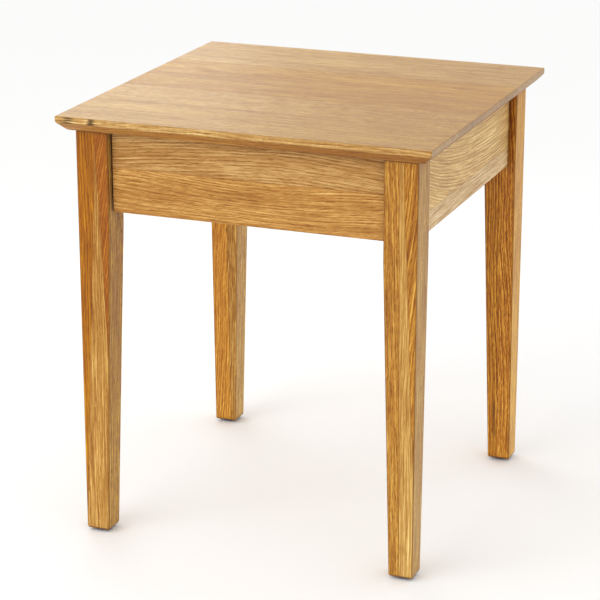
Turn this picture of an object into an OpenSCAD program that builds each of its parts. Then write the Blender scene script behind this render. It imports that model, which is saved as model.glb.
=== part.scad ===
// Side table with one drawer, in solid oak.
// The front, with the drawer, faces -Y. The origin is on the floor, under the middle of the table.
// Four tapered legs carry two side aprons and a back apron on glued tenons. Two flat rails join the
// front legs. The drawer is a dovetailed box that runs on wooden runners and is pulled by its lower edge.

/* [Tabletop] */
// Width of the tabletop, side to side
top_width = 500; // [460:10:600]
// Depth of the tabletop, front to back
top_depth = 500; // [460:10:600]
// Height of the table over its glides
table_height = 570; // [480:5:650]
// Thickness of the tabletop
top_thickness = 20; // [18:1:20]
// Height of the square band round the tabletop's edge
edge_band = 8; // [8:1:10]
// Radius that eases the edge's 45 degree undercut into the underside
edge_blend = 8; // [4:1:8]

/* [Legs] */
// Side of a leg's square section under the tabletop
leg_top = 44; // [44:1:50]
// Side of a leg's square section at the foot
leg_foot = 32; // [28:1:38]
// Overhang of the tabletop past the legs at the sides
side_overhang = 21; // [16:1:30]
// Overhang of the tabletop past the legs at front and back
end_overhang = 16; // [16:1:25]
// Distance from the aprons' lower edge down to where the taper starts
taper_drop = 22; // [10:1:60]

/* [Aprons and rails] */
// Height of the side and back aprons
apron_height = 108; // [100:1:120]
// Thickness of the aprons
apron_thickness = 20; // [18:1:20]
// How far the side and back aprons stand back from the legs' outer faces
apron_setback = 11; // [10:1:12]
// Length of the tenons in the legs
tenon_length = 18; // [12:1:18]
// Thickness of the two flat front rails, the runners and the kickers
rail_thickness = 15; // [14:1:16]
// Depth of the two front rails, front to back
rail_depth = 40; // [34:1:46]

/* [Drawer] */
// How far the drawer front stands back from the legs' front faces
front_setback = 9.5; // [8:0.5:10]
// Thickness of the drawer front
front_thickness = 19; // [18:0.5:19]
// Gap at each end of the drawer front
front_gap = 1.8; // [1:0.1:2.5]
// Gap between the drawer front and the tabletop
front_top_gap = 1.5; // [1:0.1:2.5]
// How much higher the drawer front ends than the aprons
front_raise = 2.5; // [0:0.5:4]
// Thickness of the drawer's sides and back
box_wall = 12; // [10:1:12]
// Space between the drawer's sides and the back apron, for the drawer stops and corner blocks
rear_space = 52; // [46:1:90]
// Room over the drawer's sides, under the kickers
box_headroom = 3.5; // [2:0.5:6]
// Thickness of the drawer's plywood bottom
bottom_thickness = 4; // [3:0.5:5]
// Number of dovetails at each front corner of the drawer
tail_count = 3; // [2:1:3]

/* [Glides] */
// Diameter of the glides under the legs
glide_diameter = 22; // [18:1:24]
// Thickness of the glides
glide_thickness = 3.5; // [2:0.5:5]

/* [Hidden] */
$fn = 48;

// Colours of the woods and the metal
oak_golden = [0.76, 0.54, 0.30];
oak_pale = [0.80, 0.62, 0.40];
oak_brown = [0.70, 0.46, 0.22];
beech = [0.86, 0.72, 0.54];
birch = [0.88, 0.78, 0.60];
zinc = [0.75, 0.75, 0.77];
glide_grey = [0.42, 0.46, 0.52];

// Clearances: glued joints, holes round screws and dowels, and pieces that slide on each other
glue_gap = 0.1;
hole_gap = 0.05;
slide_gap = 0.3;
// Overlap that lets one solid cut cleanly through another
cut = 1;

// Levels
top_underside = table_height - top_thickness;
leg_base = glide_thickness;
apron_low = top_underside - apron_height;
taper_start = apron_low - taper_drop;
rail_low = top_underside - rail_thickness;

// Plan of the frame
leg_x = top_width / 2 - side_overhang;
leg_y = top_depth / 2 - end_overhang;
leg_in_x = leg_x - leg_top;
leg_in_y = leg_y - leg_top;
apron_out_x = leg_x - apron_setback;
apron_in_x = apron_out_x - apron_thickness;
apron_out_y = leg_y - apron_setback;
apron_in_y = apron_out_y - apron_thickness;

// Tenons are in the middle of the apron's thickness, with a shoulder above and below
tenon_thickness = 8;
tenon_shoulder = 14;

// Front rails
front_y = -leg_y + front_setback;
front_back_y = front_y + front_thickness;
rail_front_y = front_back_y + 1;
rail_back_y = rail_front_y + rail_depth;
finger_chamfer = 9;
dowel_d = 8;
dowel_length = 30;
dowel_y = (rail_front_y - leg_in_y) / 2;

// Drawer box
box_out_x = leg_in_x - front_gap;
box_in_x = box_out_x - box_wall;
runner_low = apron_low + 14;
runner_high = runner_low + rail_thickness;
box_low = runner_high + slide_gap;
box_top = rail_low - box_headroom;
box_height = box_top - box_low;
front_low = apron_low + front_raise;
front_high = top_underside - front_top_gap;
box_rear_y = apron_in_y - rear_space;
back_inset = 6;
back_rear_y = box_rear_y - back_inset;
back_front_y = back_rear_y - box_wall;
dado_depth = 4;
groove_depth = 5;
groove_low = box_low + 9;
groove_high = groove_low + bottom_thickness;

// Dovetails: a tail flares by 1 in 7 towards the drawer front's face
lap_depth = 12;
tail_slope = 7;
tail_pitch = box_height / tail_count;
tail_root = 0.5 * tail_pitch;

// Runners, guides and kickers lie against the side aprons
runner_in_x = leg_in_x - 11;
guide_in_x = leg_in_x - 1;
guide_height = 18;

// Corner blocks are diagonal in plan and clear the rear legs. On their two long faces
// x + y is the same all over.
block_height = 30;
block_outer_sum = leg_in_x + leg_in_y - 2;
block_inner_sum = block_outer_sum - 26;
kicker_rear_y = block_inner_sum - apron_in_x - 4;

// Drawer stops and the turning button that keeps the drawer in
stop_size = [8, 12, 15];
button_width = 14;
button_half = 20;
button_thickness = 8;
button_reach = 5.5;
button_z = rail_low + button_reach - button_half;
button_rear_y = back_front_y - slide_gap;
button_front_y = button_rear_y - button_thickness;

// Screws: shank diameter, head diameter and head height
screw_d = 4;
screw_head_d = 8;
screw_head_h = 2.4;
small_screw_d = 3;
small_head_d = 6;
small_head_h = 1.8;

// Places of the screws
top_screw_y = [rail_back_y + 45, 0, kicker_rear_y - 35];
rail_screw_x = 90;
runner_screw_y = [rail_back_y + 25, 0, leg_in_y - 30];
kicker_screw_y = [top_screw_y[0] / 2, top_screw_y[2] / 2];
bottom_screw_x = [-110, 0, 110];
top_screw_x = (runner_in_x + apron_in_x) / 2;
top_screw_length = 26;
bottom_screw_length = 14;
button_screw_length = 18;
side_screw_length = 36;
block_screw_length = 24;
block_screw_z = top_underside - 10;
// The middle of a corner block's face on the side apron and on the back apron
block_side_y = (block_inner_sum + block_outer_sum) / 2 - apron_in_x;
block_back_x = (block_inner_sum + block_outer_sum) / 2 - apron_in_y;
block_top_screw = (block_inner_sum + block_outer_sum) / 4;

// Draws its children on one side of the table: -1 is the left, 1 is the right
module on_side(s) {
    if (s < 0) mirror([1, 0, 0]) children();
    else children();
}

// A box from its lowest corner to its highest corner
module slab(low, high) {
    translate(low) cube(high - low);
}

// A countersunk screw. Its head's face is at the origin and its shank runs along +Z.
module screw(length, d = screw_d, head_d = screw_head_d, head_h = screw_head_h) {
    tip = d;
    cylinder(d1 = head_d, d2 = d, h = head_h);
    translate([0, 0, head_h - 0.01]) cylinder(d = d, h = length - head_h - tip + 0.01);
    translate([0, 0, length - tip - 0.01]) cylinder(d1 = d, d2 = 0.6, h = tip);
}

// The hole that a screw of that length needs, with a counterbore before its head
module screw_hole(length, d = screw_d, head_d = screw_head_d, head_h = screw_head_h, before = 0) {
    translate([0, 0, head_h - 0.01]) cylinder(d = d + 2 * hole_gap, h = length - head_h + cut);
    cylinder(d1 = head_d + 2 * hole_gap, d2 = d + 2 * hole_gap, h = head_h);
    translate([0, 0, -before - cut]) cylinder(d = head_d + 2 * hole_gap, h = before + cut + 0.01);
}

// The screws that hold the tabletop, drawn as screws or as their holes
module at_top_screws() {
    for (s = [-1, 1]) {
        for (y = top_screw_y) translate([s * top_screw_x, y, rail_low]) children();
        translate([s * rail_screw_x, (rail_front_y + rail_back_y) / 2, rail_low]) children();
        translate([s * block_top_screw, block_top_screw, rail_low]) children();
    }
}

// The tabletop's undercut, as distances in from the edge and down from the top face: it leaves
// the band at 45 degrees, and an arc eases it into the underside
blend_steps = 6;
edge_undercut = top_thickness - edge_band + edge_blend * (sqrt(2) - 1);
undercut = concat([[0, edge_band]],
    [for (k = [0:blend_steps])
        let (turn = 45 * (1 - k / blend_steps))
        [edge_undercut - edge_blend * sin(turn), top_thickness - edge_blend * (1 - cos(turn))]]);

// The tabletop's section, where half is half its width or depth
module top_section(half) {
    last = len(undercut) - 1;
    right = [for (k = [0:last]) [half - undercut[k][0], -undercut[k][1]]];
    left = [for (k = [last:-1:0]) [undercut[k][0] - half, -undercut[k][1]]];
    polygon(concat([[half, 0]], right, left, [[-half, 0]]));
}

module tabletop() {
    color(oak_pale) difference() {
        intersection() {
            translate([0, top_depth / 2, table_height]) rotate([90, 0, 0])
                linear_extrude(top_depth) top_section(top_width / 2);
            translate([-top_width / 2, 0, table_height]) rotate([90, 0, 90])
                linear_extrude(top_width) top_section(top_depth / 2);
        }
        at_top_screws() screw_hole(top_screw_length);
    }
}

// A leg's section through its middle: the outer face is straight and the inner face tapers
leg_chamfer = 1.5;
module leg_section() {
    polygon([[0, leg_base + leg_chamfer], [leg_chamfer, leg_base],
             [leg_foot - leg_chamfer, leg_base], [leg_foot, leg_base + leg_chamfer],
             [leg_top, taper_start], [leg_top, top_underside], [0, top_underside]]);
}

// A leg with its outer corner at the origin of the plan, growing along +X and +Y
module leg_blank() {
    intersection() {
        translate([0, leg_top, 0]) rotate([90, 0, 0]) linear_extrude(leg_top) leg_section();
        rotate([90, 0, 90]) linear_extrude(leg_top) leg_section();
    }
}

// A side apron's tenon, or with a gap its mortise, at the end at y = sign * leg_in_y
module side_tenon(sign, gap = 0) {
    mid = (apron_in_x + apron_out_x) / 2;
    low = [mid - tenon_thickness / 2 - gap, leg_in_y - cut, apron_low + tenon_shoulder - gap];
    high = [mid + tenon_thickness / 2 + gap, leg_in_y + tenon_length + gap,
            top_underside - tenon_shoulder + gap];
    if (sign < 0) mirror([0, 1, 0]) slab(low, high);
    else slab(low, high);
}

// The back apron's tenon, or its mortise, at its right-hand end
module back_tenon(gap = 0) {
    mid = (apron_in_y + apron_out_y) / 2;
    slab([leg_in_x - cut, mid - tenon_thickness / 2 - gap, apron_low + tenon_shoulder - gap],
         [leg_in_x + tenon_length + gap, mid + tenon_thickness / 2 + gap,
          top_underside - tenon_shoulder + gap]);
}

// One front rail's dowel at the right-hand end, or its hole, at height z
module rail_dowel(z, gap = 0) {
    half = dowel_length / 2 + (gap > 0 ? 0.5 : 0);
    translate([leg_in_x - half, dowel_y, z]) rotate([0, 90, 0])
        cylinder(d = dowel_d + 2 * gap, h = 2 * half);
}

module both_rail_dowels(gap = 0) {
    rail_dowel(rail_low + rail_thickness / 2, gap);
    rail_dowel(runner_low + rail_thickness / 2, gap);
}

// The right-hand leg at the front or the rear, with its mortises and holes
module leg(front) {
    sign = front ? -1 : 1;
    color(front ? oak_golden : oak_brown) difference() {
        translate([leg_x, sign * leg_y, 0]) rotate([0, 0, front ? 90 : 180])
            leg_blank();
        side_tenon(sign, glue_gap);
        if (front) both_rail_dowels(hole_gap);
        else back_tenon(glue_gap);
        glide_nail(sign, hole_gap);
    }
}

module leg_front_left() { on_side(-1) leg(true); }
module leg_front_right() { leg(true); }
module leg_rear_left() { on_side(-1) leg(false); }
module leg_rear_right() { leg(false); }

// A board between the front and rear legs, with a tenon at each end
module side_apron() {
    color(oak_pale) difference() {
        union() {
            slab([apron_in_x, -leg_in_y, apron_low], [apron_out_x, leg_in_y, top_underside]);
            side_tenon(-1);
            side_tenon(1);
        }
        at_side_screws() screw_hole(side_screw_length);
        at_kicker_screws() screw_hole(side_screw_length);
        at_block_side_screw() screw_hole(block_screw_length);
    }
}

module side_apron_left() { on_side(-1) side_apron(); }
module side_apron_right() { side_apron(); }

module back_apron() {
    color(oak_pale) difference() {
        union() {
            slab([-leg_in_x, apron_in_y, apron_low], [leg_in_x, apron_out_y, top_underside]);
            for (s = [-1, 1]) on_side(s) back_tenon();
        }
        for (s = [-1, 1]) on_side(s) at_block_back_screw() screw_hole(block_screw_length);
    }
}

// The plan of a front rail: full width behind the legs, narrower between them
module rail_plan() {
    notch_y = -leg_in_y + glue_gap;
    polygon([[-leg_in_x, rail_front_y], [leg_in_x, rail_front_y], [leg_in_x, notch_y],
             [apron_in_x, notch_y], [apron_in_x, rail_back_y], [-apron_in_x, rail_back_y],
             [-apron_in_x, notch_y], [-leg_in_x, notch_y]]);
}

module front_top_rail() {
    color(oak_golden) difference() {
        translate([0, 0, rail_low]) linear_extrude(rail_thickness) rail_plan();
        for (s = [-1, 1]) on_side(s) both_rail_dowels(hole_gap);
        at_top_screws() screw_hole(top_screw_length);
    }
}

// The lower rail's front edge is chamfered underneath, for the fingers that pull the drawer
module front_bottom_rail() {
    color(oak_golden) difference() {
        translate([0, 0, runner_low]) linear_extrude(rail_thickness) rail_plan();
        for (s = [-1, 1]) on_side(s) both_rail_dowels(hole_gap);
        translate([-leg_in_x + 25, rail_front_y, runner_low]) rotate([90, 0, 90])
            linear_extrude(2 * leg_in_x - 50)
                polygon([[-cut, -cut], [finger_chamfer + cut, -cut], [-cut, finger_chamfer + cut]]);
    }
}

module rail_dowels() {
    color(beech) for (s = [-1, 1]) on_side(s) both_rail_dowels();
}

// Places of the screws that go sideways into the right-hand apron
module at_side_screws() {
    for (y = runner_screw_y) translate([runner_in_x, y, runner_low + rail_thickness / 2])
        rotate([0, 90, 0]) children();
}

module at_kicker_screws() {
    for (y = kicker_screw_y) translate([runner_in_x, y, rail_low + rail_thickness / 2])
        rotate([0, 90, 0]) children();
}

// A batten under the drawer's side, screwed to the apron
module drawer_runner() {
    color(beech) difference() {
        slab([runner_in_x, rail_back_y, runner_low], [apron_in_x, leg_in_y, runner_high]);
        at_side_screws() screw_hole(side_screw_length);
    }
}

module drawer_runner_left() { on_side(-1) drawer_runner(); }
module drawer_runner_right() { drawer_runner(); }

// A strip that keeps the drawer straight, glued on the runner and the apron
module drawer_guide() {
    color(beech) slab([guide_in_x, rail_back_y, runner_high],
                      [apron_in_x, leg_in_y, runner_high + guide_height]);
}

module drawer_guide_left() { on_side(-1) drawer_guide(); }
module drawer_guide_right() { drawer_guide(); }

// A batten over the drawer's side, which stops the open drawer from tipping
module kicker() {
    color(beech) difference() {
        slab([runner_in_x, rail_back_y, rail_low], [apron_in_x, kicker_rear_y, top_underside]);
        at_kicker_screws() screw_hole(side_screw_length);
        at_top_screws() screw_hole(top_screw_length);
    }
}

module kicker_left() { on_side(-1) kicker(); }
module kicker_right() { kicker(); }

// Places of a corner block's screws into the side apron and the back apron
module at_block_side_screw() {
    translate([apron_in_x - 10, block_side_y, block_screw_z]) rotate([0, 90, 0]) children();
}

module at_block_back_screw() {
    translate([block_back_x, apron_in_y - 10, block_screw_z - 10]) rotate([-90, 0, 0]) children();
}

// A diagonal block in a rear corner
module corner_block() {
    color(beech) difference() {
        translate([0, 0, top_underside - block_height]) linear_extrude(block_height)
            polygon([[apron_in_x, block_inner_sum - apron_in_x],
                     [apron_in_x, block_outer_sum - apron_in_x],
                     [block_outer_sum - apron_in_y, apron_in_y],
                     [block_inner_sum - apron_in_y, apron_in_y]]);
        at_block_side_screw() screw_hole(block_screw_length, before = 14);
        at_block_back_screw() screw_hole(block_screw_length, before = 14);
        at_top_screws() screw_hole(top_screw_length, before = block_height);
    }
}

module corner_block_left() { on_side(-1) corner_block(); }
module corner_block_right() { corner_block(); }

// A small block on the runner that sets how deep the drawer closes
module drawer_stop() {
    color(beech) translate([guide_in_x - stop_size[0] - 0.5, box_rear_y + slide_gap, runner_high])
        cube(stop_size);
}

module drawer_stop_left() { on_side(-1) drawer_stop(); }
module drawer_stop_right() { drawer_stop(); }

// The middle of a right-hand leg's foot
foot_x = leg_x - leg_foot / 2;
foot_y = leg_y - leg_foot / 2;
nail_d = 2.2;
nail_length = 14;

// The nail of the right-hand glide at the front or the rear, or its hole in the leg
module glide_nail(sign, gap = 0) {
    translate([foot_x, sign * foot_y, leg_base - 1.5 - gap])
        cylinder(d = nail_d + 2 * gap, h = nail_length + 2 * gap);
}

// A round plastic glide with a softened lower rim
module glide(sign) {
    r = glide_diameter / 2;
    rim = 1.2;
    color(glide_grey) difference() {
        translate([foot_x, sign * foot_y, 0]) rotate_extrude()
            polygon([[0, 0], [r - rim, 0], [r, rim], [r, glide_thickness], [0, glide_thickness]]);
        glide_nail(sign, hole_gap);
    }
}

module glide_front_left() { on_side(-1) glide(-1); }
module glide_front_right() { glide(-1); }
module glide_rear_left() { on_side(-1) glide(1); }
module glide_rear_right() { glide(1); }

module glide_nails() {
    color(zinc) for (s = [-1, 1], t = [-1, 1]) on_side(s) glide_nail(t);
}

module tabletop_screws() {
    color(zinc) at_top_screws() screw(top_screw_length);
}

module runner_screws() {
    color(zinc) for (s = [-1, 1]) on_side(s) at_side_screws() screw(side_screw_length);
}

module kicker_screws() {
    color(zinc) for (s = [-1, 1]) on_side(s) at_kicker_screws() screw(side_screw_length);
}

module corner_block_screws() {
    color(zinc) for (s = [-1, 1]) on_side(s) {
        at_block_side_screw() screw(block_screw_length);
        at_block_back_screw() screw(block_screw_length);
    }
}

// The tails at the front of a right-hand drawer side, or with a gap their sockets.
// Seen from the side, each tail is narrow at the drawer front's back and wide at its end.
module tails(gap = 0) {
    flare = lap_depth / tail_slope;
    for (k = [0:tail_count - 1]) {
        z = box_low + (k + 0.5) * tail_pitch;
        translate([box_in_x - gap, front_back_y, z]) rotate([90, 0, 90])
            linear_extrude(box_wall + gap + (gap > 0 ? cut : 0))
                polygon([[cut, -tail_root / 2 - gap], [cut, tail_root / 2 + gap],
                         [0, tail_root / 2 + gap],
                         [-lap_depth - gap, tail_root / 2 + flare + gap],
                         [-lap_depth - gap, -tail_root / 2 - flare - gap],
                         [0, -tail_root / 2 - gap]]);
    }
}

// The groove for the bottom, or with no gap the bottom itself
module bottom_panel(gap = 0) {
    slab([-box_in_x - groove_depth - gap, front_back_y - groove_depth - gap, groove_low - gap],
         [box_in_x + groove_depth + gap, back_rear_y + (gap > 0 ? back_inset + cut : 0),
          groove_high + gap]);
}

module drawer_front() {
    grip = 5;
    color(oak_golden) difference() {
        slab([-box_out_x, front_y, front_low], [box_out_x, front_back_y, front_high]);
        for (s = [-1, 1]) on_side(s) tails(glue_gap);
        intersection() {
            bottom_panel(glue_gap);
            slab([-box_in_x, front_y, box_low], [box_in_x, front_back_y + cut, box_top]);
        }
        translate([-box_out_x - cut, front_back_y, front_low]) rotate([90, 0, 90])
            linear_extrude(2 * box_out_x + 2 * cut)
                polygon([[cut, -cut], [cut, grip + cut], [-grip - cut, -cut]]);
    }
}

module drawer_side() {
    color(oak_pale) difference() {
        union() {
            slab([box_in_x, front_back_y, box_low], [box_out_x, box_rear_y, box_top]);
            tails();
        }
        intersection() {
            bottom_panel(glue_gap);
            slab([box_in_x - cut, front_back_y, box_low], [box_out_x, box_rear_y + cut, box_top]);
        }
        slab([box_in_x - cut, back_front_y - glue_gap, groove_high],
             [box_in_x + dado_depth + glue_gap, back_rear_y + glue_gap, box_top + cut]);
    }
}

module drawer_side_left() { on_side(-1) drawer_side(); }
module drawer_side_right() { drawer_side(); }

module drawer_back() {
    half = box_in_x + dado_depth;
    color(oak_pale) difference() {
        slab([-half, back_front_y, groove_high + glue_gap], [half, back_rear_y, box_top]);
        at_bottom_screws() screw_hole(bottom_screw_length, small_screw_d, small_head_d, small_head_h);
        at_button_screw() cylinder(d = screw_d + 2 * hole_gap, h = button_screw_length + 1);
    }
}

module at_bottom_screws() {
    for (x = bottom_screw_x) translate([x, (back_front_y + back_rear_y) / 2, groove_low]) children();
}

module drawer_bottom() {
    tail_room = box_out_x - box_in_x;
    color(birch) difference() {
        bottom_panel();
        // The front corners are cut back to clear the dovetail sockets
        for (s = [-1, 1]) on_side(s)
            slab([box_in_x - glue_gap, front_back_y - groove_depth - cut, groove_low - cut],
                 [box_in_x + tail_room, front_back_y + glue_gap, groove_high + cut]);
        at_bottom_screws() screw_hole(bottom_screw_length, small_screw_d, small_head_d, small_head_h);
    }
}

module drawer_bottom_screws() {
    color(zinc) at_bottom_screws() screw(bottom_screw_length, small_screw_d, small_head_d, small_head_h);
}

// The stop button's pivot: along +Y, from the front of the button into the drawer's back
module at_button_screw() {
    translate([0, button_front_y - slide_gap, button_z]) rotate([-90, 0, 0]) children();
}

// A wooden button with round ends. Upright, it meets the front top rail and keeps the drawer in.
module stop_button() {
    r = button_width / 2;
    color(oak_brown) difference() {
        union() {
            translate([-r, button_front_y, button_z - button_half + r])
                cube([button_width, button_thickness, 2 * button_half - button_width]);
            for (t = [-1, 1]) translate([0, button_rear_y, button_z + t * (button_half - r)])
                rotate([90, 0, 0]) cylinder(r = r, h = button_thickness);
        }
        at_button_screw() translate([0, 0, -cut])
            cylinder(d = screw_d + 2 * hole_gap, h = button_thickness + 2 * cut);
    }
}

// A screw with a low domed head. The dome is a slice of a sphere.
module stop_button_screw() {
    head_d = 9;
    head_h = 2.6;
    dome_r = (head_d * head_d / 4 + head_h * head_h) / (2 * head_h);
    color(zinc) at_button_screw() {
        intersection() {
            translate([0, 0, dome_r - head_h]) sphere(r = dome_r);
            translate([0, 0, -head_h]) cylinder(d = head_d, h = head_h);
        }
        translate([0, 0, -0.01]) cylinder(d = screw_d, h = button_screw_length);
    }
}

tabletop();
leg_front_left();
leg_front_right();
leg_rear_left();
leg_rear_right();
side_apron_left();
side_apron_right();
back_apron();
front_top_rail();
front_bottom_rail();
rail_dowels();
drawer_runner_left();
drawer_runner_right();
drawer_guide_left();
drawer_guide_right();
kicker_left();
kicker_right();
corner_block_left();
corner_block_right();
drawer_stop_left();
drawer_stop_right();
glide_front_left();
glide_front_right();
glide_rear_left();
glide_rear_right();
glide_nails();
tabletop_screws();
runner_screws();
kicker_screws();
corner_block_screws();
drawer_front();
drawer_side_left();
drawer_side_right();
drawer_back();
drawer_bottom();
drawer_bottom_screws();
stop_button();
stop_button_screw();
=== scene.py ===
import math

import bmesh
import bpy
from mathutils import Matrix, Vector


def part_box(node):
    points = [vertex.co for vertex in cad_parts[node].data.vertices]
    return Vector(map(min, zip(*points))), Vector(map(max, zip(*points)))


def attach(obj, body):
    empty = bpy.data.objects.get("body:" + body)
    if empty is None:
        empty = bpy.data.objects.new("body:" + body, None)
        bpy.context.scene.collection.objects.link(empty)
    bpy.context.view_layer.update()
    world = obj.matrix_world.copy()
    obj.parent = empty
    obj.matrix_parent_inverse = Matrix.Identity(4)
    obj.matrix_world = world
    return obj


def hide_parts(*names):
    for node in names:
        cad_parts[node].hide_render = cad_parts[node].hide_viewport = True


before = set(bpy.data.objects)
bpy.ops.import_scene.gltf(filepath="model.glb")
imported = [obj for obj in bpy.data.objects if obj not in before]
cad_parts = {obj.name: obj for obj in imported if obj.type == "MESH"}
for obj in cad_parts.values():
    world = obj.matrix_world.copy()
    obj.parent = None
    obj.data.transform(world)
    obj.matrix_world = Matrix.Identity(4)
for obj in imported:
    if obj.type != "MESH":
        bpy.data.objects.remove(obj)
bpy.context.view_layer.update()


# Legs
# Each leg is glued up from two or three oak lamellae, planed square, then tapered on its two inner
# faces on the saw. Its arrises are eased with sandpaper and it is oiled. The aprons' tenons are glued
# in its mortises.
def wire(tree, kind, inputs=(), **settings):
    """Adds a node. Each input is a value or another node's output."""
    made = tree.nodes.new(kind)
    for key, value in settings.items():
        setattr(made, key, value)
    for key, value in dict(inputs).items():
        if isinstance(value, bpy.types.NodeSocket):
            tree.links.new(value, made.inputs[key])
        else:
            made.inputs[key].default_value = value
    return made


def maths(tree, operation, *terms):
    return wire(tree, "ShaderNodeMath", dict(enumerate(terms)), operation=operation).outputs[0]


def vectors(tree, operation, *terms):
    made = wire(tree, "ShaderNodeVectorMath", dict(enumerate(terms)), operation=operation)
    return made.outputs["Vector"]


def parts_of(tree, vector):
    return wire(tree, "ShaderNodeSeparateXYZ", {0: vector}).outputs


def vector_of(tree, *parts):
    return wire(tree, "ShaderNodeCombineXYZ", dict(enumerate(parts))).outputs[0]


def mottle(tree, place, size, detail=2.0, roughness=0.5):
    """Cloudy noise whose blots are that size in mm: along the grain, across it and through it."""
    scaled = vectors(tree, "DIVIDE", place, size)
    settings = {"Vector": scaled, "Scale": 1.0, "Detail": detail, "Roughness": roughness}
    return wire(tree, "ShaderNodeTexNoise", settings).outputs


def spread(tree, value, low, high, to_low=0.0, to_high=1.0):
    """Stretches low..high to to_low..to_high, and clamps it there."""
    levels = {"Value": value, "From Min": low, "From Max": high, "To Min": to_low, "To Max": to_high}
    return wire(tree, "ShaderNodeMapRange", levels).outputs[0]


def mixed(tree, amount, first, second, blend_type="MIX"):
    """Mixes two colours."""
    made = wire(tree, "ShaderNodeMix", {0: amount}, data_type="RGBA", blend_type=blend_type)
    for socket, colour in ((made.inputs[6], first), (made.inputs[7], second)):
        if isinstance(colour, bpy.types.NodeSocket):
            tree.links.new(colour, socket)
        else:
            socket.default_value = (*colour, 1.0)
    return made.outputs[2]


def linear(tone):
    """A colour as the eye reads it, 0 to 255, as the linear colour that a shader takes."""
    return [(c / 255 / 12.92 if c < 10.3 else ((c / 255 + 0.055) / 1.055) ** 2.4) for c in tone]


def new_finish(name):
    """A new material, with its node tree and its shader."""
    material = bpy.data.materials.new(name)
    material.use_nodes = True
    return material, material.node_tree, material.node_tree.nodes["Principled BSDF"]


def place_in_mm(tree):
    """Where a point of the piece is, in mm."""
    place = wire(tree, "ShaderNodeTexCoord").outputs["Object"]
    return vectors(tree, "MULTIPLY", place, (1000.0, 1000.0, 1000.0))


def surface_facing(tree):
    """How squarely the surface faces along X, Y and Z, whichever way."""
    return parts_of(tree, vectors(tree, "ABSOLUTE", wire(tree, "ShaderNodeTexCoord").outputs["Normal"]))


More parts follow.
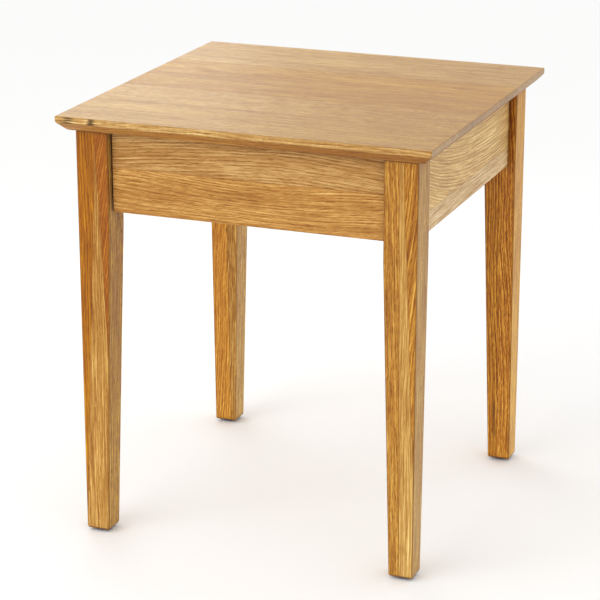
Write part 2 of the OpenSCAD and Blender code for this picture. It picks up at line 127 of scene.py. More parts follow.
def oak_figure():
    """The figure of oak as a solid: growth rings round a heart beside the board, the pores of the
    early wood, fine streaks, broad clouds and the flecks of the rays. Lengths are in mm."""
    ring_width = 3.9
    tree = bpy.data.node_groups.new("oak figure", "ShaderNodeTree")
    for name, kind in (("Place", "NodeSocketVector"), ("Seed", "NodeSocketFloat"),
                       ("Slant", "NodeSocketFloat"), ("Side", "NodeSocketFloat"),
                       ("Depth", "NodeSocketFloat"), ("Sway", "NodeSocketFloat"),
                       ("Arch", "NodeSocketFloat"), ("Crown", "NodeSocketFloat")):
        tree.interface.new_socket(name, in_out="INPUT", socket_type=kind)
    for name in ("Rings", "Pores", "Streaks", "Clouds", "Flecks"):
        tree.interface.new_socket(name, in_out="OUTPUT", socket_type="NodeSocketFloat")
    given = tree.nodes.new("NodeGroupInput").outputs
    seed = given["Seed"]
    along, across, through = parts_of(tree, given["Place"])
    from_crown = maths(tree, "DIVIDE", maths(tree, "SUBTRACT", along, given["Crown"]), 200.0)
    arched = maths(tree, "MULTIPLY", maths(tree, "MULTIPLY", from_crown, from_crown), given["Arch"])
    slanted = maths(tree, "MULTIPLY_ADD", along, given["Slant"], across)
    board = vector_of(tree, along, maths(tree, "ADD", slanted, arched), through)
    seeds = vector_of(tree, seed, seed, seed)
    lot = vectors(tree, "MULTIPLY_ADD", seeds, (917.0, 353.0, 271.0), board)

    # Rings: the distance from the heart, bent by a slow sway and a fine shiver
    middle = (0.5, 0.5, 0.5)
    slow = vectors(tree, "SUBTRACT", mottle(tree, lot, (260.0, 110.0, 110.0), 1.0)["Color"], middle)
    fine = vectors(tree, "SUBTRACT", mottle(tree, lot, (30.0, 8.0, 8.0), 2.0)["Color"], middle)
    sway = maths(tree, "MULTIPLY", given["Sway"], 4.0)
    swayed = vectors(tree, "MULTIPLY_ADD", slow, vector_of(tree, 0.0, sway, sway), board)
    bent = vectors(tree, "MULTIPLY_ADD", fine, (0.0, 2.2, 2.2), swayed)
    bent_along, bent_across, bent_through = parts_of(tree, bent)
    from_heart = vector_of(tree, 0.0, maths(tree, "ADD", bent_across, given["Side"]),
                           maths(tree, "ADD", bent_through, given["Depth"]))
    radius = wire(tree, "ShaderNodeVectorMath", {0: from_heart}, operation="LENGTH").outputs["Value"]
    years = mottle(tree, vector_of(tree, radius, seed, 0.0), (13.0, 0.1, 1.0))["Fac"]
    year = maths(tree, "FRACT", maths(tree, "MULTIPLY_ADD", radius, 1 / ring_width,
                                      maths(tree, "MULTIPLY", years, 2.6)))
    late = maths(tree, "POWER", maths(tree, "SUBTRACT", 1.0, year), 1.9)
    early = maths(tree, "MULTIPLY", late, spread(tree, year, 0.0, 0.10))
    strong = mottle(tree, lot, (120.0, 12.0, 12.0))["Fac"]
    rings = maths(tree, "MULTIPLY", early, spread(tree, strong, 0.3, 0.65, 0.35, 1.0))

    grained = vectors(tree, "ADD", bent, seeds)
    dashes = spread(tree, mottle(tree, lot, (10.0, 0.75, 0.75), 1.0)["Fac"], 0.54, 0.68)
    dots = spread(tree, mottle(tree, lot, (6.0, 0.4, 0.4), 1.0)["Fac"], 0.54, 0.66)
    pores = maths(tree, "MULTIPLY", maths(tree, "MULTIPLY_ADD", dots, 0.35, dashes),
                  maths(tree, "MULTIPLY_ADD", early, 0.75, 0.35))
    streaks = mottle(tree, grained, (70.0, 1.7, 1.7), 3.0, 0.55)["Fac"]
    clouds = mottle(tree, lot, (240.0, 24.0, 24.0))["Fac"]

    # Rays: short pale flecks that lie aslant the grain
    fleck_along = maths(tree, "MULTIPLY_ADD", bent_across, 0.9, bent_along)
    fleck_across = maths(tree, "MULTIPLY_ADD", bent_along, -0.30, bent_across)
    fleck_place = vector_of(tree, fleck_along, fleck_across, bent_through)
    flecks = mottle(tree, fleck_place, (10.0, 1.2, 30.0), 1.0)["Fac"]
    out = tree.nodes.new("NodeGroupOutput").inputs
    for name, value in (("Rings", rings), ("Pores", pores), ("Streaks", streaks), ("Clouds", clouds),
                        ("Flecks", spread(tree, flecks, 0.52, 0.66))):
        tree.links.new(value, out[name])
    return tree


OAK_FIGURE = oak_figure()


def stave(edge, tone, seed, slope=0.0, slant=0.0, side=10.0, depth=40.0, sway=3.0, arch=0.0, crown=0.0,
          rays=0.2, rings=1.0, pores=1.0, end=0.9):
    """One stave of a board. edge is its far glue line in mm, where the axis of the grain starts, and
    slope is how that line wanders off. tone is its colour, and seed picks its own stretch of grain.
    slant is how far the grain runs askew. side and depth say where the heart of the tree was, in mm,
    sway how crooked it grew, and arch how many mm the grain bends away 200 mm either side of its
    crown. rays, rings and pores are how strongly each shows, and end how light its end grain is."""
    return {"edge": edge, "slope": slope, "tone": linear(tone) + [seed],
            "lie": [slant + 0.5, side / 1200 + 0.5, depth / 200, sway / 100],
            "bow": [arch / 200 + 0.5, crown / 1200 + 0.5, 0.0, 1.0],
            "figure": [rays, rings / 4, pores / 4, end]}


def oak(name, along, across, staves, cheek, level, contrast=1.0, roughness=0.44, worn=0.8, knots=(),
        painted_light_drift=0.0):
    """Oiled oak glued up from staves side by side. along and across are the axes of the grain and of
    the row of staves, and cheek is the look of the two faces at the row's ends. level is where the
    middle of the board's thickness is, in mm. worn is how dark the arrises are. Each knot is a dark
    check: its place along and across in mm, and its length and width. painted_light_drift is a painted
    gradient of light and shade: how much lighter the wood is painted every 100 mm along the grain."""
    material, tree, shader = new_finish(name)
    axes = parts_of(tree, place_in_mm(tree))
    through = ({"X", "Y", "Z"} - {along, across}).pop()
    grain = vector_of(tree, axes[along], axes[across], maths(tree, "SUBTRACT", axes[through], level))

    # Which stave a point is in: how many glue lines it is past. The lines waver a little, as the eye
    # follows the grain beside them.
    waver = maths(tree, "SUBTRACT", mottle(tree, grain, (70.0, 70.0, 70.0))["Fac"], 0.5)
    row = maths(tree, "MULTIPLY_ADD", waver, 3.0, axes[across])
    passed, seams = 0.0, 0.0
    for one in staves[:-1]:
        line = maths(tree, "MULTIPLY_ADD", axes[along], one["slope"], one["edge"])
        past = maths(tree, "SUBTRACT", row, line)
        passed = maths(tree, "ADD", maths(tree, "GREATER_THAN", past, 0.0), passed)
        near = spread(tree, maths(tree, "ABSOLUTE", past), 0.2, 1.0, 1.0, 0.0)
        seams = maths(tree, "ADD", near, seams)
    facing = surface_facing(tree)
    on_cheek = maths(tree, "GREATER_THAN", facing[across], 0.6)
    passed = maths(tree, "MAXIMUM", passed, maths(tree, "MULTIPLY", on_cheek, len(staves)))
    seams = maths(tree, "SUBTRACT", seams, on_cheek)
    kinds = staves + [cheek]

    def by_stave(fact):
        """A fact of the stave that the point is in, read from a ramp with one step for each."""
        share = 1 / len(kinds)
        step = maths(tree, "MULTIPLY_ADD", passed, share, share / 2)
        ramp = wire(tree, "ShaderNodeValToRGB", {"Fac": step})
        band = ramp.color_ramp
        band.interpolation = "CONSTANT"
        band.elements.remove(band.elements[-1])
        for number, one in enumerate(kinds):
            spot = band.elements.new(number * share) if number else band.elements[0]
            spot.color = one[fact]
        return ramp.outputs

    tones, lie, bow, looks = by_stave("tone"), by_stave("lie"), by_stave("bow"), by_stave("figure")
    slant, side, depth = parts_of(tree, lie["Color"])
    arch, crown = parts_of(tree, bow["Color"])[:2]
    flecked, ringed, pored = parts_of(tree, looks["Color"])
    group = wire(tree, "ShaderNodeGroup", node_tree=OAK_FIGURE)
    for key, value in (("Place", grain), ("Seed", tones["Alpha"]),
                       ("Slant", maths(tree, "SUBTRACT", slant, 0.5)),
                       ("Side", maths(tree, "MULTIPLY_ADD", side, 1200.0, -600.0)),
                       ("Depth", maths(tree, "MULTIPLY", depth, 200.0)),
                       ("Sway", maths(tree, "MULTIPLY", lie["Alpha"], 100.0)),
                       ("Arch", maths(tree, "MULTIPLY_ADD", arch, 200.0, -100.0)),
                       ("Crown", maths(tree, "MULTIPLY_ADD", crown, 1200.0, -600.0))):
        tree.links.new(value, group.inputs[key])
    figure = group.outputs
    rays = maths(tree, "MULTIPLY", figure["Flecks"], flecked)
    lines = maths(tree, "MULTIPLY", figure["Rings"], maths(tree, "MULTIPLY", ringed, 4.0))
    pored = maths(tree, "MULTIPLY", pored, 4.0)
    pitted = maths(tree, "MULTIPLY", figure["Pores"], pored)

    # Colour: oil makes dark wood richer, so it takes more of the green and blue than of the red
    deep = spread(tree, figure["Streaks"], 0.3, 0.7, 0.36 * contrast, -0.36 * contrast)
    deep = maths(tree, "ADD", deep, spread(tree, figure["Clouds"], 0.3, 0.7, 0.12, -0.12))
    deep = maths(tree, "MULTIPLY_ADD", lines, 0.52 * contrast, deep)
    deep = maths(tree, "MULTIPLY_ADD", pitted, 0.40 * contrast, deep)
    deep = maths(tree, "MULTIPLY_ADD", spread(tree, seams, 0.0, 1.0), 0.25, deep)
    deep = maths(tree, "MULTIPLY_ADD", rays, -0.30, deep)
    # Painted light: a gradient of lightness along the grain, standing in for how the light falls.
    deep = maths(tree, "MULTIPLY_ADD", axes[along], -painted_light_drift / 100, deep)
    taken = [maths(tree, "EXPONENT", maths(tree, "MULTIPLY", deep, share))
             for share in (-1.0, -1.55, -2.4)]
    toned = vectors(tree, "MULTIPLY", tones["Color"], vector_of(tree, *taken))
    for place_along, place_across, length, width in knots:
        off_along = maths(tree, "DIVIDE", maths(tree, "SUBTRACT", axes[along], place_along), length)
        off_across = maths(tree, "DIVIDE", maths(tree, "SUBTRACT", row, place_across), width)
        off = vector_of(tree, off_along, off_across, 0.0)
        far_off = wire(tree, "ShaderNodeVectorMath", {0: off}, operation="LENGTH").outputs["Value"]
        ragged = maths(tree, "MULTIPLY_ADD", figure["Streaks"], 1.6, far_off)
        toned = mixed(tree, spread(tree, ragged, 1.1, 1.7, 0.85, 0.0), toned, (0.07, 0.03, 0.008))

    # End grain is greyer. The undercut and underside of the tabletop are painted darker: painted shade
    # under its edge. Corners, gaps and recesses where pieces meet are darkened with painted shade from
    # an occlusion node. Hands leave the arrises darker.
    ends = spread(tree, facing[along], 0.6, 0.9)
    grey = wire(tree, "ShaderNodeHueSaturation",
                {"Color": toned, "Value": looks["Alpha"], "Saturation": 0.82}).outputs[0]
    toned = mixed(tree, ends, toned, grey)
    # Painted shade: the marked undercut and underside of the tabletop are multiplied darker.
    painted_undercut_shade = wire(tree, "ShaderNodeAttribute", attribute_name="painted_undercut_shade").outputs["Fac"]
    toned = mixed(tree, painted_undercut_shade, toned, (0.66, 0.46, 0.18), "MULTIPLY")
    # Painted shade: where the occlusion node finds surfaces close by, in corners, gaps and recesses,
    # the colour is darkened.
    painted_corner_shade = wire(tree, "ShaderNodeAmbientOcclusion", {"Distance": 0.018}, samples=6).outputs["AO"]
    toned = mixed(tree, spread(tree, painted_corner_shade, 0.1, 0.8, 0.9, 0.0), toned, (0.32, 0.19, 0.08), "MULTIPLY")
    arris = wire(tree, "ShaderNodeAttribute", attribute_name="arris").outputs["Fac"]
    rubbed = maths(tree, "MULTIPLY", arris, spread(tree, figure["Streaks"], 0.3, 0.7, 0.6 * worn, worn))
    toned = mixed(tree, rubbed, toned, (0.22, 0.085, 0.010))
    tree.links.new(toned, shader.inputs["Base Color"])
    matt = maths(tree, "MULTIPLY_ADD", figure["Pores"], 0.15, roughness)
    matt = maths(tree, "MULTIPLY_ADD", rays, -0.08, matt)
    tree.links.new(maths(tree, "MULTIPLY_ADD", arris, -0.07, matt), shader.inputs["Roughness"])
    relief = maths(tree, "MULTIPLY_ADD", pitted, -1.0, maths(tree, "MULTIPLY", lines, -0.4))
    relief = maths(tree, "MULTIPLY_ADD", figure["Streaks"], 0.7, relief)
    bump = wire(tree, "ShaderNodeBump", {"Height": relief, "Strength": 0.6, "Distance": 0.0004})
    tree.links.new(bump.outputs[0], shader.inputs["Normal"])
    shader.inputs["Specular IOR Level"].default_value = 0.3
    shader.inputs["Specular Tint"].default_value = (1.0, 0.88, 0.68, 1.0)
    shader.inputs["Sheen Weight"].default_value = 0.12
    shader.inputs["Sheen Roughness"].default_value = 0.35
    return material


def outer_planes(mesh):
    """The flat sides of the solid's convex hull, as (normal, distance from the origin)."""
    hull = bmesh.new()
    for corner in mesh.verts:
        hull.verts.new(corner.co)
    bmesh.ops.convex_hull(hull, input=hull.verts)
    planes = []
    for face in hull.faces:
        face.normal_update()
        side = (face.normal.copy(), face.normal.dot(face.verts[0].co))
        if not any(side[0].dot(n) > 0.9999 and abs(side[1] - d) < 2e-5 for n, d in planes):
            planes.append(side)
    hull.free()
    return planes


def eased(node, ease, material, chosen=lambda middle: True):
    """A copy of a CAD solid with its outer arrises rounded off, as sandpaper does. ease is the width
    that is rounded, in metres, and chosen says which arrises, by their middles."""
    mesh = bmesh.new()
    mesh.from_mesh(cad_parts[node].data)
    bmesh.ops.remove_doubles(mesh, verts=mesh.verts, dist=2e-6)
    bmesh.ops.dissolve_limit(mesh, angle_limit=math.radians(0.4), verts=mesh.verts, edges=mesh.edges)
    planes = outer_planes(mesh)
    weight = mesh.edges.layers.float.new("bevel_weight_edge")
    for edge in mesh.edges:
        ends = [corner.co for corner in edge.verts]
        if len(edge.link_faces) != 2 or edge.calc_face_angle(0.0) < math.radians(40):
            continue
        on = [n for n, d in planes if all(abs(n.dot(end) - d) < 2e-5 for end in ends)]
        sharp = any(first.dot(second) < 0.8 for first in on for second in on)
        edge[weight] = 1.0 if sharp and chosen((ends[0] + ends[1]) / 2) else 0.0
    shape = bpy.data.meshes.new(node + "_eased")
    mesh.to_mesh(shape)
    mesh.free()
    rough = bpy.data.objects.new("rough_" + node, shape)
    bpy.context.scene.collection.objects.link(rough)
    for finish in (material, material):
        shape.materials.append(finish)
    shape.shade_smooth()
    bevel = rough.modifiers.new("ease", "BEVEL")
    bevel.limit_method = "WEIGHT"
    bevel.width = ease
    bevel.segments = 3
    bevel.use_clamp_overlap = False
    bevel.material = 1
    return finished(rough, node + "_eased", material)


def finished(rough, name, material):
    """Applies the modifiers of a rough piece, and marks which points lie on its eased arrises."""
    plain = bpy.data.meshes.new_from_object(rough.evaluated_get(bpy.context.evaluated_depsgraph_get()))
    bpy.data.objects.remove(rough)
    on_flat = [False] * len(plain.vertices)
    for face in plain.polygons:
        if face.material_index == 0:
            for corner in face.vertices:
                on_flat[corner] = True
        face.material_index = 0
    arris = plain.attributes.new("arris", "FLOAT", "POINT")
    arris.data.foreach_set("value", [0.0 if flat else 1.0 for flat in on_flat])
    plain.set_sharp_from_angle(angle=math.radians(33))
    piece = bpy.data.objects.new(name, plain)
    bpy.context.scene.collection.objects.link(piece)
    weighted = piece.modifiers.new("weighted", "WEIGHTED_NORMAL")
    weighted.keep_sharp = True
    bpy.context.view_layer.update()
    final = bpy.data.meshes.new_from_object(piece.evaluated_get(bpy.context.evaluated_depsgraph_get()))
    piece.modifiers.clear()
    piece.data = final
    final.materials.clear()
    final.materials.append(material)
    return piece


def stand_in(piece, node, body):
    """The piece takes the place of its CAD node."""
    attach(piece, body)
    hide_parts(node)


# The last of each is the leg's side faces, where another growth of the same lamella shows. Its tone
# is partly painted light and shade: it was matched to how these faces look in this scene's light.
leg_lamellae = {
    "leg_front_left": [
        stave(-229.4, (189, 125, 17), 0.13, slope=0.05, side=90, depth=20, sway=4, rays=0.1,
              rings=1.2),
        stave(-180.1, (194, 145, 71), 0.66, slope=-0.042, side=120, depth=60, rings=0.6),
        stave(0.0, (173, 104, 26), 0.37, slant=-0.18, side=15, depth=8, sway=9, rays=0.5, pores=1.2),
        stave(0.0, (217, 172, 66), 0.55, side=190, depth=90, sway=5, rings=2.6, pores=2.4)],
    "leg_front_right": [
        stave(211.1, (198, 144, 61), 0.52, slope=-0.0117, slant=0.03, depth=70, rays=0.3, rings=0.5,
              pores=2.0),
        stave(234.6, (207, 164, 90), 0.71, slope=-0.045, depth=150, rays=0.1, rings=0.1, pores=0.6),
        stave(0.0, (202, 146, 57), 0.29, slant=-0.10, side=20, depth=10, sway=6, rays=0.5, pores=1.4),
        stave(0.0, (206, 165, 86), 0.35, side=-215, depth=100, sway=4, rings=1.6)],
    "leg_rear_left": [
        stave(-204.3, (206, 145, 55), 0.81, slant=-0.06, depth=50, sway=6, rays=0.6),
        stave(0.0, (197, 150, 75), 0.46, side=60, depth=20, sway=5, pores=1.3),
        stave(0.0, (223, 183, 98), 0.74, side=190, depth=100, sway=4, rings=2.0, pores=1.6)],
    "leg_rear_right": [
        stave(209.5, (213, 152, 53), 0.62, slant=0.02, side=70, depth=10, sway=5, rings=2.4,
              pores=2.2),
        stave(0.0, (214, 149, 55), 0.24, slant=0.05, depth=30, sway=8, rays=1.0, rings=2.0, pores=2.2),
        stave(0.0, (223, 168, 53), 0.93, side=-215, depth=100, sway=4, rings=0.6, pores=0.8)],
}
knots = {"leg_rear_right": [(75.0, 205.8, 34.0, 1.6), (45.0, 207.4, 16.0, 1.3)],
         "leg_rear_left": [(304.0, -204.5, 7.0, 1.4), (262.0, -203.2, 16.0, 1.0)]}
for node, lamellae in leg_lamellae.items():
    level = -212.0 if "front" in node else 212.0
    # The painted light gradient makes each leg darker towards its top.
    leg_oak = oak("oak_" + node, "Z", "X", lamellae[:-1], lamellae[-1], level, 1.15, worn=1.0,
                  knots=knots.get(node, ()), painted_light_drift=-0.04)
    stand_in(eased(node, 0.0015, leg_oak), node, "frame")


# Aprons
# The side and back aprons are oak boards glued up from two staves, tenoned into the legs. Only their
# lower arrises are eased: the upper ones meet the tabletop and the ends are shouldered.
apron_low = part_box("side_apron_right")[0].z
lower_stave_width = 27
apron_joint = apron_low * 1000 + lower_stave_width


def on_lower_edge(middle):
    return middle.z < apron_low + 1e-4


apron_staves = {
    "side_apron_right": ("Y", 208.0, [
        stave(apron_joint, (209, 174, 121), 0.33, side=-380, depth=60, rings=0.4, pores=0.8),
        stave(0.0, (219, 181, 112), 0.91, side=-380, depth=24, sway=4, arch=-26, crown=90, rings=1.3,
              pores=0.7)]),
    "side_apron_left": ("Y", -208.0, [
        stave(apron_joint, (196, 146, 86), 0.57, side=-440, depth=60),
        stave(0.0, (202, 154, 96), 0.21, side=-395, depth=24, sway=10, arch=-20, crown=-60,
              rings=1.4)]),
    "back_apron": ("X", 213.0, [
        stave(apron_joint, (198, 148, 88), 0.76, side=-430, depth=60),
        stave(0.0, (192, 138, 78), 0.09, side=-400, depth=24, sway=10, arch=24, crown=40, rings=1.4)]),
}
for node, (along, level, staves) in apron_staves.items():
    apron = eased(node, 0.0010, oak("oak_" + node, along, "Z", staves, staves[0], level), on_lower_edge)
    stand_in(apron, node, "frame")


# Front rails
# Two flat oak rails join the front legs, one under the tabletop and one under the drawer. Each is
# held by a fluted beech dowel in each end.
def dress(node, material):
    """Gives a CAD node its material."""
    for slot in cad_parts[node].material_slots:
        slot.material = material


rail_stave = stave(0.0, (190, 136, 78), 0.44, side=190, depth=30)
rail_oak = oak("oak_rails", "X", "Y", [rail_stave], rail_stave, 540.0)
dress("front_top_rail", rail_oak)
dress("front_bottom_rail", rail_oak)


def beech(name, along):
    """Planed bare beech: even, pinkish, with short fine dashes along the grain."""
    material, tree, shader = new_finish(name)
    axes = parts_of(tree, place_in_mm(tree))
    others = sorted({"X", "Y", "Z"} - {along})
    grain = vector_of(tree, axes[along], axes[others[0]], axes[others[1]])
    dashes = spread(tree, mottle(tree, grain, (3.2, 0.5, 0.5), 1.0)["Fac"], 0.56, 0.70)
    bands = mottle(tree, grain, (160.0, 6.0, 6.0), 3.0)["Fac"]
    tone_light = linear((204, 162, 118))
    tone_dark = [c * 0.72 for c in tone_light]
    colour = mixed(tree, spread(tree, bands, 0.3, 0.7), tone_light, tone_dark)
    colour = mixed(tree, maths(tree, "MULTIPLY", dashes, 0.45), colour, [c * 0.45 for c in tone_light])
    tree.links.new(colour, shader.inputs["Base Color"])
    tree.links.new(spread(tree, bands, 0.3, 0.7, 0.52, 0.64), shader.inputs["Roughness"])
    bump = wire(tree, "ShaderNodeBump", {"Height": dashes, "Strength": 0.3, "Distance": 0.0002},
                invert=True)
    tree.links.new(bump.outputs[0], shader.inputs["Normal"])
    return material


beech_across = beech("beech_dowels", "X")
dress("rail_dowels", beech_across)


# Drawer runners, guides and kickers
# Beech battens on each side apron: the drawer's side slides on the runner, against the guide and
# under the kicker. The runner and the kicker are screwed through, and the guide is glued.
beech_lengthwise = beech("beech_battens", "Y")
for batten in ("drawer_runner", "drawer_guide", "kicker", "drawer_stop"):
    for hand in ("_left", "_right"):
        dress(batten + hand, beech_lengthwise)


# Corner blocks
# A planed beech block across each rear corner, under the tabletop. It is screwed to both aprons, and
# one more screw goes up through it into the tabletop.
for hand in ("_left", "_right"):
    dress("corner_block" + hand, beech_across)


# Drawer front
# Two oak staves glued up, planed, with a bevelled grip worked along its lower back edge. The drawer
# sides are dovetailed into its ends. Only the arrises of its face are eased.
front_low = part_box("drawer_front")[0]
front_staves = [
    stave(503.0, (191, 139, 70), 0.67, slant=0.01, side=-350, depth=30, sway=7, arch=-8, crown=-60,
          rays=0.5, rings=0.9, pores=1.4),
    stave(0.0, (192, 147, 86), 0.18, slant=-0.01, side=-640, depth=30, sway=5, arch=10, crown=20,
          rays=0.1, rings=0.8, pores=1.6),
]
front_oak = oak("oak_drawer_front", "X", "Z", front_staves, front_staves[0], -215.0, 0.85, worn=0.5)
drawer_front = eased("drawer_front", 0.0010, front_oak,
                     lambda middle: middle.y < front_low.y + 1e-4 or middle.z < front_low.z + 1e-4)
stand_in(drawer_front, "drawer_front", "drawer")


# Drawer box
# Two oak sides tailed into the front, and a back let into dadoes in them. Their top edges are rounded
# over, because a hand meets them.
box_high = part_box("drawer_side_left")[1]
side_staves = [stave(0.0, (206, 164, 110), 0.39, side=-400, depth=30, sway=6)]
back_oak = oak("oak_drawer_back", "X", "Z", side_staves, side_staves[0], 0.0, 0.8, 0.5, 0.3)
for node, level in (("drawer_side_left", -170.0), ("drawer_side_right", 170.0), ("drawer_back", None)):
    if level is None:
        material = back_oak
    else:
        material = oak("oak_" + node, "Y", "Z", side_staves, side_staves[0], level, 0.8, 0.5, 0.3)
    wall = eased(node, 0.0012, material, lambda middle: middle.z > box_high.z - 1e-4)
    stand_in(wall, node, "drawer")


# Drawer bottom
# Birch plywood, bare on both faces. It is slid from behind into grooves in the front and the sides,
# under the back, and screwed up into the back's lower edge.
def birch_plywood():
    """Rotary-cut birch veneer: pale, with wide lazy waves, and thin dark plies on its edges."""
    material, tree, shader = new_finish("birch_plywood")
    in_mm = place_in_mm(tree)
    waves = mottle(tree, in_mm, (160.0, 30.0, 60.0), 3.0)["Fac"]
    contour = maths(tree, "FRACT", maths(tree, "MULTIPLY", waves, 14.0))
    fibre = mottle(tree, in_mm, (22.0, 0.8, 0.8), 2.0)["Fac"]
    on_edge = spread(tree, surface_facing(tree)["Z"], 0.3, 0.6, 1.0, 0.0)
    ply_thickness = 1.33
    height = parts_of(tree, in_mm)["Z"]
    ply = maths(tree, "GREATER_THAN", maths(tree, "PINGPONG", height, ply_thickness), 0.66)
    pale = linear((222, 196, 154))
    tan = linear((204, 170, 122))
    colour = mixed(tree, maths(tree, "MULTIPLY", spread(tree, contour, 0.6, 1.0), 0.5), pale, tan)
    colour = mixed(tree, maths(tree, "MULTIPLY", fibre, 0.35), colour, tan)
    colour = mixed(tree, maths(tree, "MULTIPLY", maths(tree, "MULTIPLY", ply, on_edge), 0.7), colour,
                   linear((150, 104, 60)))
    tree.links.new(colour, shader.inputs["Base Color"])
    tree.links.new(spread(tree, fibre, 0.3, 0.7, 0.55, 0.68), shader.inputs["Roughness"])
    bump = wire(tree, "ShaderNodeBump", {"Height": fibre, "Strength": 0.25, "Distance": 0.0002})
    tree.links.new(bump.outputs[0], shader.inputs["Normal"])
    return material


dress("drawer_bottom", birch_plywood())


# Stop button
# An oak button on a round-head screw in the drawer's back, with its grain along its length. Upright,
# it meets the top rail.
button_stave = stave(0.0, (206, 164, 110), 0.47, side=-90, depth=30, sway=4)
dress("stop_button", oak("oak_stop_button", "Z", "X", [button_stave], button_stave, 125.0, 0.8, 0.5))


# Tabletop
# An oak panel of five staves running side to side, planed, then undercut all round and sanded. The
# ends of the staves show as end grain on the left and right edges. It is screwed on from below.
top_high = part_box("tabletop")[1]
top_staves = [
    stave(-141.0, (190, 146, 72), 0.58, side=290, depth=22, sway=6, rays=0.4, end=0.95),
    stave(-48.0, (186, 140, 68), 0.27, side=170, depth=30, sway=8, rays=0.6, rings=0.6, end=0.8),
    stave(34.0, (184, 135, 55), 0.83, side=-110, depth=26, sway=8, rings=0.8, end=0.9),
    stave(118.0, (190, 141, 57), 0.49, side=20, depth=12, sway=7, end=0.8),
    stave(0.0, (193, 151, 84), 0.15, side=-330, depth=24, sway=7, rings=0.8, end=0.95),
]
band = stave(0.0, (205, 164, 100), 0.78, side=240, depth=12, sway=8, rays=0.3, rings=1.3, pores=1.8)
top_knots = [(-200.0, -250.0, 8.0, 0.9), (-232.0, -250.0, 12.0, 0.8)]
# The painted light gradient makes the top lighter towards its left end, a painted reflection beside the
# back lamp's own.
top_oak = oak("oak_tabletop", "X", "Y", top_staves, band, 560.0, 0.8, 0.42, 0.3, top_knots, painted_light_drift=-0.02)
tabletop = eased("tabletop", 0.0013, top_oak)
edge_height = 0.0085
undercut = top_high.z - edge_height
# Painted shade: every point below the edge band, on the undercut and the underside, is marked to be
# painted darker.
painted_undercut_shade = tabletop.data.attributes.new("painted_undercut_shade", "FLOAT", "POINT")
for corner, mark in zip(tabletop.data.vertices, painted_undercut_shade.data):
    mark.value = 1.0 if corner.co.z < undercut else 0.0
stand_in(tabletop, "tabletop", "frame")


# Screws and nails
# Zinc-plated steel. The countersunk wood screws have a cross in the head and a rolled thread. The
# stop button's round-head screw and the nails of the glides keep their plain shapes.
def zinc_steel():
    """Zinc plating: grey-blue, with a fine cloudy spangle."""
    material, tree, shader = new_finish("zinc_steel")
    spangle = mottle(tree, place_in_mm(tree), (1.2, 1.2, 1.2), 3.0)["Fac"]
    colour = mixed(tree, spread(tree, spangle, 0.3, 0.7), (0.48, 0.49, 0.52), (0.66, 0.66, 0.66))
    tree.links.new(colour, shader.inputs["Base Color"])
    tree.links.new(spread(tree, spangle, 0.3, 0.7, 0.24, 0.42), shader.inputs["Roughness"])
    shader.inputs["Metallic"].default_value = 1.0
    return material


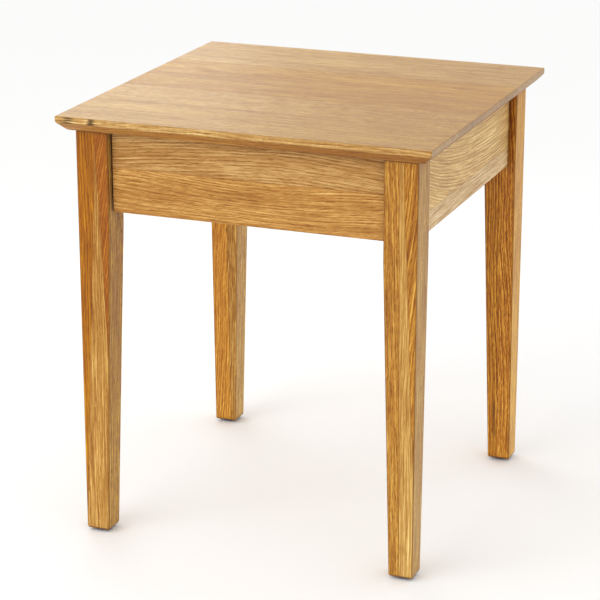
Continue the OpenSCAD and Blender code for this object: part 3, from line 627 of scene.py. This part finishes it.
def screw_tree():
    """A countersunk cross-head wood screw on every point, with its head at the point and its shank
    along the point's aim. Head and Shank are diameters, Sink is the head's depth and Pitch the
    thread's. Sizes are in metres."""
    tree = bpy.data.node_groups.new("wood screw", "GeometryNodeTree")
    tree.interface.new_socket("Geometry", in_out="INPUT", socket_type="NodeSocketGeometry")
    for size in ("Length", "Head", "Shank", "Sink", "Pitch"):
        tree.interface.new_socket(size, in_out="INPUT", socket_type="NodeSocketFloat")
    tree.interface.new_socket("Metal", in_out="INPUT", socket_type="NodeSocketMaterial")
    tree.interface.new_socket("Geometry", in_out="OUTPUT", socket_type="NodeSocketGeometry")
    given = tree.nodes.new("NodeGroupInput").outputs

    def times(value, factor):
        return maths(tree, "MULTIPLY", value, factor)

    def along_z(height):
        return vector_of(tree, 0.0, 0.0, height)

    def placed(geometry, move):
        moved = wire(tree, "GeometryNodeTransform", {"Geometry": geometry, "Translation": move})
        return moved.outputs[0]

    core = times(given["Shank"], 0.36)
    head = wire(tree, "GeometryNodeMeshCone",
                {"Vertices": 28, "Radius Top": core, "Radius Bottom": times(given["Head"], 0.5),
                 "Depth": given["Sink"]}).outputs["Mesh"]
    arm = wire(tree, "GeometryNodeMeshCube",
               {"Size": vector_of(tree, times(given["Head"], 0.56), times(given["Head"], 0.12),
                                  times(given["Sink"], 1.1))}).outputs["Mesh"]
    turned = wire(tree, "GeometryNodeTransform",
                  {"Geometry": arm, "Rotation": (0.0, 0.0, math.radians(90))}).outputs[0]
    recessed = wire(tree, "GeometryNodeMeshBoolean", {"Mesh 1": head}, operation="DIFFERENCE")
    for blade in (arm, turned):
        tree.links.new(blade, recessed.inputs["Mesh 2"])
    point = times(given["Shank"], 1.3)
    straight = maths(tree, "SUBTRACT", maths(tree, "SUBTRACT", given["Length"], given["Sink"]), point)
    shank = wire(tree, "GeometryNodeMeshCylinder",
                 {"Vertices": 20, "Radius": core, "Depth": straight}).outputs["Mesh"]
    tip = wire(tree, "GeometryNodeMeshCone",
               {"Vertices": 20, "Radius Bottom": core, "Radius Top": times(given["Shank"], 0.03),
                "Depth": point}).outputs["Mesh"]
    turns = maths(tree, "DIVIDE", times(straight, 0.85), given["Pitch"])
    coil = wire(tree, "GeometryNodeCurveSpiral",
                {"Resolution": 18, "Rotations": turns, "Start Radius": core, "End Radius": core,
                 "Height": times(straight, 0.85)}).outputs[0]
    crest = wire(tree, "GeometryNodeCurvePrimitiveCircle",
                 {"Resolution": 3, "Radius": times(given["Shank"], 0.12)}).outputs["Curve"]
    thread = wire(tree, "GeometryNodeCurveToMesh",
                  {"Curve": coil, "Profile Curve": crest, "Fill Caps": True}).outputs[0]
    whole = tree.nodes.new("GeometryNodeJoinGeometry")
    shank_end = maths(tree, "ADD", given["Sink"], straight)
    shank_middle = maths(tree, "ADD", given["Sink"], times(straight, 0.5))
    for piece in (placed(thread, along_z(maths(tree, "ADD", given["Sink"], times(straight, 0.13)))),
                  placed(tip, along_z(shank_end)), placed(shank, along_z(shank_middle)),
                  recessed.outputs["Mesh"]):
        tree.links.new(piece, whole.inputs[0])
    aim = wire(tree, "GeometryNodeInputNamedAttribute", {"Name": "aim"}, data_type="FLOAT_VECTOR")
    turn = wire(tree, "FunctionNodeAlignRotationToVector", {"Vector": aim.outputs[0]}, axis="Z")
    row = wire(tree, "GeometryNodeInstanceOnPoints",
               {"Points": given["Geometry"], "Instance": whole.outputs[0], "Rotation": turn.outputs[0]})
    real = wire(tree, "GeometryNodeRealizeInstances", {"Geometry": row.outputs[0]})
    done = wire(tree, "GeometryNodeSetMaterial",
                {"Geometry": real.outputs[0], "Material": given["Metal"]})
    tree.links.new(done.outputs[0], tree.nodes.new("NodeGroupOutput").inputs[0])
    return tree


def shanks(node):
    """Where the screws of a CAD node are: each one's head, the way it points and its length."""
    mesh = bmesh.new()
    mesh.from_mesh(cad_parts[node].data)
    bmesh.ops.remove_doubles(mesh, verts=mesh.verts, dist=2e-6)
    left = set(mesh.verts)
    found = []
    while left:
        screw, reached = set(), [left.pop()]
        while reached:
            corner = reached.pop()
            screw.add(corner)
            for edge in corner.link_edges:
                other = edge.other_vert(corner)
                if other in left:
                    left.remove(other)
                    reached.append(other)
        low = Vector([min(corner.co[k] for corner in screw) for k in range(3)])
        high = Vector([max(corner.co[k] for corner in screw) for k in range(3)])
        size = high - low
        axis = max(range(3), key=lambda k: size[k])
        middle = (low + high) / 2
        wide = max(screw, key=lambda corner: (corner.co - middle).length)
        head_high = wide.co[axis] > middle[axis]
        aim = Vector([0.0, 0.0, 0.0])
        aim[axis] = -1.0 if head_high else 1.0
        head = middle.copy()
        head[axis] = high[axis] if head_high else low[axis]
        found.append((head, aim, size[axis]))
    mesh.free()
    return sorted(found, key=lambda one: tuple(one[0]))


zinc = zinc_steel()
WOOD_SCREW = screw_tree()


def driven(node, body, head, shank, sink):
    """Puts real screws in the place of a CAD node's plain ones. head and shank are the diameters and
    sink the depth of the head, in metres."""
    screws = shanks(node)
    points = bpy.data.meshes.new(node + "_real")
    points.from_pydata([place for place, aim, length in screws], [], [])
    aims = points.attributes.new("aim", "FLOAT_VECTOR", "POINT")
    for mark, (place, aim, length) in zip(aims.data, screws):
        mark.vector = aim
    rough = bpy.data.objects.new("rough_" + node, points)
    bpy.context.scene.collection.objects.link(rough)
    modifier = rough.modifiers.new("screws", "NODES")
    modifier.node_group = WOOD_SCREW
    place, aim, length = screws[0]
    values = {"Length": length, "Head": head, "Shank": shank, "Sink": sink, "Pitch": shank * 0.42,
              "Metal": zinc}
    for socket in WOOD_SCREW.interface.items_tree:
        if socket.name in values:
            modifier[socket.identifier] = values[socket.name]
    bpy.context.view_layer.update()
    plain = bpy.data.meshes.new_from_object(rough.evaluated_get(bpy.context.evaluated_depsgraph_get()))
    bpy.data.objects.remove(rough)
    plain.set_sharp_from_angle(angle=math.radians(40))
    piece = bpy.data.objects.new(node + "_real", plain)
    bpy.context.scene.collection.objects.link(piece)
    stand_in(piece, node, body)


for node in ("tabletop_screws", "runner_screws", "kicker_screws", "corner_block_screws"):
    driven(node, "frame", head=0.0078, shank=0.0038, sink=0.0024)
driven("drawer_bottom_screws", "drawer", head=0.0058, shank=0.0028, sink=0.0018)
dress("stop_button_screw", zinc)
dress("glide_nails", zinc)


# Glides
# A moulded disc of grey-blue plastic under each leg, held by one nail through its middle. It keeps
# the end grain of the leg off the floor.
def glide_plastic():
    """Moulded plastic: even, with a fine grain and scuffs underneath."""
    material, tree, shader = new_finish("glide_plastic")
    in_mm = place_in_mm(tree)
    grain = mottle(tree, in_mm, (0.6, 0.6, 0.6), 2.0)["Fac"]
    scuffs = spread(tree, mottle(tree, in_mm, (6.0, 0.7, 6.0), 3.0)["Fac"], 0.55, 0.75)
    colour = mixed(tree, maths(tree, "MULTIPLY", scuffs, 0.5), linear((74, 86, 108)),
                   linear((128, 134, 146)))
    tree.links.new(colour, shader.inputs["Base Color"])
    tree.links.new(spread(tree, grain, 0.3, 0.7, 0.45, 0.6), shader.inputs["Roughness"])
    bump = wire(tree, "ShaderNodeBump", {"Height": grain, "Strength": 0.2, "Distance": 0.0001})
    tree.links.new(bump.outputs[0], shader.inputs["Normal"])
    return material


glide_grey = glide_plastic()
for place in ("front_left", "front_right", "rear_left", "rear_right"):
    dress("glide_" + place, glide_grey)


# Floor, light and camera
# A plain pale floor, a white room, one large soft lamp in front of the table, to the left of the
# camera, and a small one behind it.
floor_mesh = bpy.data.meshes.new("floor")
reach = 30.0
floor_mesh.from_pydata([(-reach, -reach, 0), (reach, -reach, 0), (reach, reach, 0), (-reach, reach, 0)],
                       [], [(0, 1, 2, 3)])
floor = bpy.data.objects.new("floor", floor_mesh)
bpy.context.scene.collection.objects.link(floor)
floor_paint = bpy.data.materials.new("floor_paint")
floor_paint.use_nodes = True
paint = floor_paint.node_tree.nodes["Principled BSDF"]
paint.inputs["Base Color"].default_value = (0.94, 0.94, 0.935, 1.0)
paint.inputs["Roughness"].default_value = 0.8
floor_mesh.materials.append(floor_paint)

room = bpy.data.worlds.new("white_room")
room.use_nodes = True
room.node_tree.nodes["Background"].inputs["Color"].default_value = (1.0, 1.0, 1.0, 1.0)
room.node_tree.nodes["Background"].inputs["Strength"].default_value = 1.0
bpy.context.scene.world = room


def soft_lamp(name, place, aim, width, height, power):
    """A large rectangular lamp, seen only by its light."""
    light = bpy.data.lights.new(name, "AREA")
    light.shape = "RECTANGLE"
    light.size = width
    light.size_y = height
    light.energy = power
    lamp = bpy.data.objects.new(name, light)
    lamp.location = place
    lamp.rotation_euler = (Vector(aim) - lamp.location).to_track_quat("-Z", "Y").to_euler()
    lamp.visible_camera = False
    bpy.context.scene.collection.objects.link(lamp)


soft_lamp("front_lamp", (-1.3, -2.5, 2.1), (0.0, 0.0, 0.35), 2.6, 2.0, 30.0)
soft_lamp("back_lamp", (-0.95, 1.0, 0.95), (-0.15, 0.0, 0.55), 0.9, 0.5, 3.0)

camera_data = bpy.data.cameras.new("camera")
camera_data.sensor_width = 36.0
camera_data.lens = 138.4
camera = bpy.data.objects.new("camera", camera_data)
camera.location = (1.06596, -2.78184, 1.24985)
camera.rotation_euler = (math.radians(90 - 18.04), 0.0, math.radians(21.23))
bpy.context.scene.collection.objects.link(camera)
bpy.context.scene.camera = camera
bpy.context.scene.view_settings.view_transform = "Standard"
